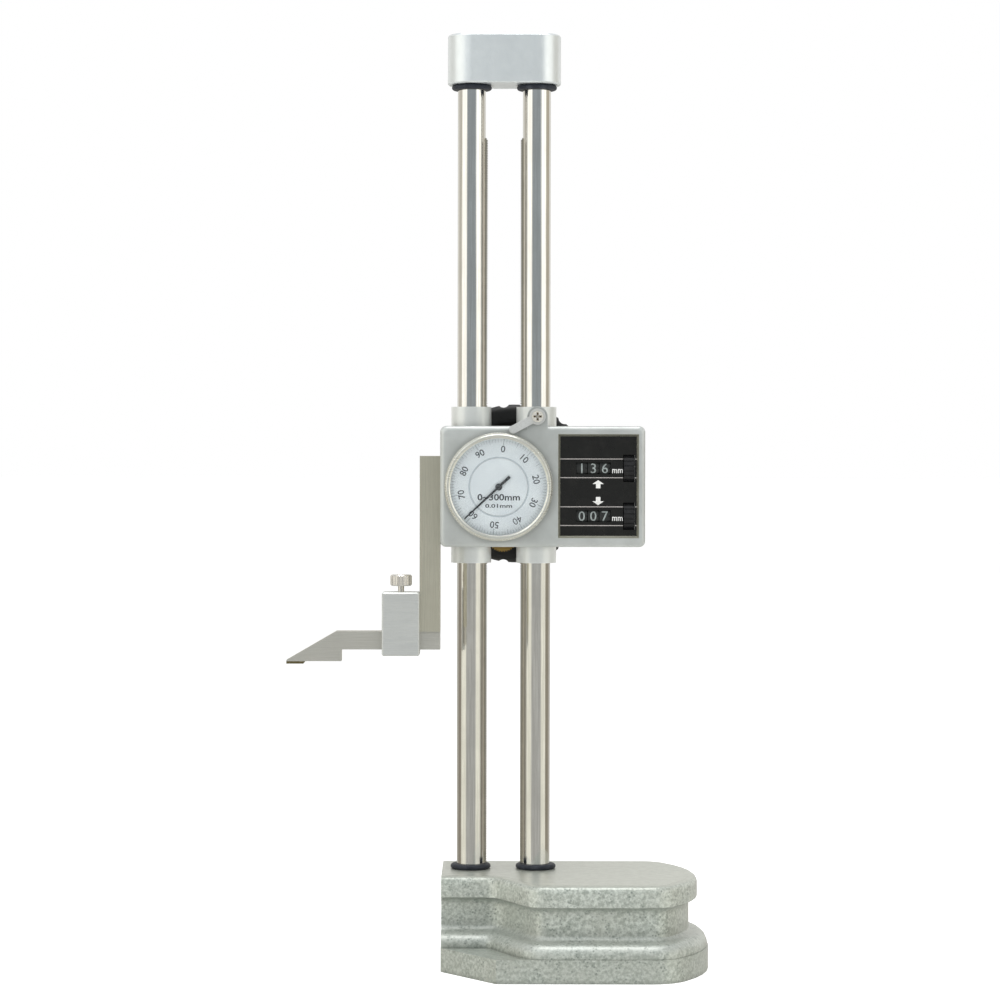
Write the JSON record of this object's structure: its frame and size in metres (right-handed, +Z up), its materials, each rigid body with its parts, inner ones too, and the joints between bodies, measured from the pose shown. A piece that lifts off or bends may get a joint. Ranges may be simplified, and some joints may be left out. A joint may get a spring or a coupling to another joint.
{
  "type": "dial height gauge",
  "caption": "Two-column dial height gauge with a waisted base, geared carriage, drum counters, rear handwheel and clamped scriber.",
  "frame": {"origin": "on the base's ground underside, midway between the two column axes", "axes": "+Z up along the columns, +X from the scriber side towards the hand rest, the dial faces -Y"},
  "size_m": [0.2077, 0.104, 0.4615],
  "materials": {
    "base_paint": "hammertone enamel over a ground casting, dark specks",
    "column_chrome": "ground and hard-chromed round bar, long bright streaks",
    "rack_steel": "milled rack teeth, light oil tint",
    "black_oxide": "black oxide screws",
    "bumper_rubber": "matt black rubber rings",
    "bridge_paint": "satin light grey paint with a fine texture",
    "carriage_paint": "satin light grey paint with a fine texture",
    "bush_bronze": "sintered bronze",
    "gear_brass": "hobbed brass",
    "plain_steel": "turned steel",
    "panel_black": "black panel with fine sheen",
    "drum_black": "moulded black drum",
    "reset_black": "ribbed black thumb wheel",
    "bezel_silver": "polished ring with a warm cast",
    "dial_white": "printed pale dial",
    "crystal_clear": "clear crystal",
    "pointer_black": "blacked thin pointer",
    "clamp_steel": "bright strip",
    "screw_brassy": "cross-slotted plated screw",
    "jaw_steel": "ground tool steel, warm grey",
    "box_satin": "satin plated block",
    "screw_nickel": "knurled nickel-plated screw",
    "scriber_steel": "ground tool steel",
    "carbide": "dark brazed carbide",
    "wheel_black": "moulded black wheel"
  },
  "bodies": {
    "base": {"base_casting": "base_paint", "column_left": "column_chrome", "column_right": "column_chrome", "measuring_rack": "rack_steel", "feed_rack": "rack_steel", "base_bolts": "black_oxide", "bridge_bolts": "black_oxide", "lower_bumpers": "bumper_rubber", "upper_bumpers": "bumper_rubber", "top_bridge": "bridge_paint"},
    "carriage": {"slider_frame": "carriage_paint", "slide_bushes": "bush_bronze", "housing": "carriage_paint", "housing_screws": "black_oxide", "movement_bridge": "gear_brass", "counter_panel": "panel_black", "counter_bracket": "plain_steel", "dial_centre": "dial_white", "feed_bush": "bush_bronze", "jaw_bar": "jaw_steel", "jaw_screws": "black_oxide", "clamp_box": "box_satin"},
    "bezel_arm": {"bezel_clamp_arm": "clamp_steel"},
    "measuring": {"measuring_gear": "gear_brass"},
    "first_train": {"first_arbor": "gear_brass"},
    "second_train": {"second_arbor": "gear_brass"},
    "needle": {"pointer_arbor": "plain_steel", "pointer": "pointer_black"},
    "dial": {"bezel": "bezel_silver", "dial_plate": "dial_white", "crystal": "crystal_clear"},
    "bezel_lock": {"bezel_clamp_screw": "screw_brassy"},
    "feed": {"feed_shaft": "plain_steel", "handwheel": "wheel_black"},
    "upper_reset": {"upper_counter_shaft": "plain_steel", "upper_reset_wheel": "reset_black"},
    "lower_reset": {"lower_counter_shaft": "plain_steel", "lower_reset_wheel": "reset_black"},
    "scriber": {"scriber_beam": "scriber_steel", "scriber_tip": "carbide"},
    "scriber_lock": {"scriber_clamp_screw": "screw_nickel"},
    "upper_units": {"upper_units_drum": "drum_black"},
    "upper_tens": {"upper_tens_drum": "drum_black"},
    "upper_hundreds": {"upper_hundreds_drum": "drum_black"},
    "lower_units": {"lower_units_drum": "drum_black"},
    "lower_tens": {"lower_tens_drum": "drum_black"},
    "lower_hundreds": {"lower_hundreds_drum": "drum_black"}
  },
  "joints": [
    {"name": "carriage_slide", "type": "slide", "parent": "base", "child": "carriage", "axis": [0, 0, 1], "range_m": [-0.149, 0.151]},
    {"name": "measuring_spin", "type": "hinge", "parent": "carriage", "child": "measuring", "pos_m": [-0.00053, 0, 0.2118], "axis": [0, -1, 0], "continuous": true},
    {"name": "first_spin", "type": "hinge", "parent": "carriage", "child": "first_train", "pos_m": [0.0014, 0, 0.22277], "axis": [0, -1, 0], "continuous": true},
    {"name": "second_spin", "type": "hinge", "parent": "carriage", "child": "second_train", "pos_m": [0.00765, 0, 0.23371], "axis": [0, -1, 0], "continuous": true},
    {"name": "pointer_spin", "type": "hinge", "parent": "carriage", "child": "needle", "pos_m": [-0.0025, 0, 0.2364], "axis": [0, -1, 0], "continuous": true},
    {"name": "feed_spin", "type": "hinge", "parent": "carriage", "child": "feed", "pos_m": [0.00531, 0, 0.2376], "axis": [0, -1, 0], "continuous": true},
    {"name": "bezel_turn", "type": "hinge", "parent": "carriage", "child": "dial", "pos_m": [-0.0025, 0, 0.2364], "axis": [0, -1, 0], "continuous": true},
    {"name": "bezel_arm_swing", "type": "hinge", "parent": "carriage", "child": "bezel_arm", "pos_m": [0.0164, 0, 0.2708], "axis": [0, -1, 0], "range_deg": [-20, 0]},
    {"name": "bezel_lock_turn", "type": "hinge", "parent": "carriage", "child": "bezel_lock", "pos_m": [0.0164, 0, 0.2708], "axis": [0, -1, 0], "range_deg": [0, 360]},
    {"name": "upper_reset_turn", "type": "hinge", "parent": "carriage", "child": "upper_reset", "pos_m": [0, -0.0214, 0.24555], "axis": [1, 0, 0], "continuous": true},
    {"name": "lower_reset_turn", "type": "hinge", "parent": "carriage", "child": "lower_reset", "pos_m": [0, -0.0214, 0.22215], "axis": [1, 0, 0], "continuous": true},
    {"name": "scriber_slide", "type": "slide", "parent": "carriage", "child": "scriber", "axis": [1, 0, 0], "range_m": [-0.02, 0.001]},
    {"name": "scriber_lock_turn", "type": "hinge", "parent": "carriage", "child": "scriber_lock", "pos_m": [-0.05055, -0.02, 0], "axis": [0, 0, 1], "range_deg": [0, 360]},
    {"name": "upper_units_spin", "type": "hinge", "parent": "carriage", "child": "upper_units", "pos_m": [0, -0.0214, 0.24555], "axis": [1, 0, 0], "continuous": true},
    {"name": "upper_tens_spin", "type": "hinge", "parent": "carriage", "child": "upper_tens", "pos_m": [0, -0.0214, 0.24555], "axis": [1, 0, 0], "continuous": true},
    {"name": "upper_hundreds_spin", "type": "hinge", "parent": "carriage", "child": "upper_hundreds", "pos_m": [0, -0.0214, 0.24555], "axis": [1, 0, 0], "continuous": true},
    {"name": "lower_units_spin", "type": "hinge", "parent": "carriage", "child": "lower_units", "pos_m": [0, -0.0214, 0.22215], "axis": [1, 0, 0], "continuous": true},
    {"name": "lower_tens_spin", "type": "hinge", "parent": "carriage", "child": "lower_tens", "pos_m": [0, -0.0214, 0.22215], "axis": [1, 0, 0], "continuous": true},
    {"name": "lower_hundreds_spin", "type": "hinge", "parent": "carriage", "child": "lower_hundreds", "pos_m": [0, -0.0214, 0.22215], "axis": [1, 0, 0], "continuous": true}
  ],
  "couplings": [
    {"joint": "measuring_spin", "follows": "carriage_slide", "rad_per_m": 125.66},
    {"joint": "first_spin", "follows": "carriage_slide", "rad_per_m": -314.16},
    {"joint": "second_spin", "follows": "carriage_slide", "rad_per_m": 1570.8},
    {"joint": "pointer_spin", "follows": "carriage_slide", "rad_per_m": -6283.2},
    {"joint": "feed_spin", "follows": "carriage_slide", "rad_per_m": -314.16},
    {"joint": "upper_units_spin", "follows": "carriage_slide", "rad_per_m": 628.32},
    {"joint": "upper_tens_spin", "follows": "carriage_slide", "rad_per_m": 62.832},
    {"joint": "upper_hundreds_spin", "follows": "carriage_slide", "rad_per_m": 6.2832},
    {"joint": "lower_units_spin", "follows": "carriage_slide", "rad_per_m": 628.32},
    {"joint": "lower_tens_spin", "follows": "carriage_slide", "rad_per_m": 62.832},
    {"joint": "lower_hundreds_spin", "follows": "carriage_slide", "rad_per_m": 6.2832}
  ]
}
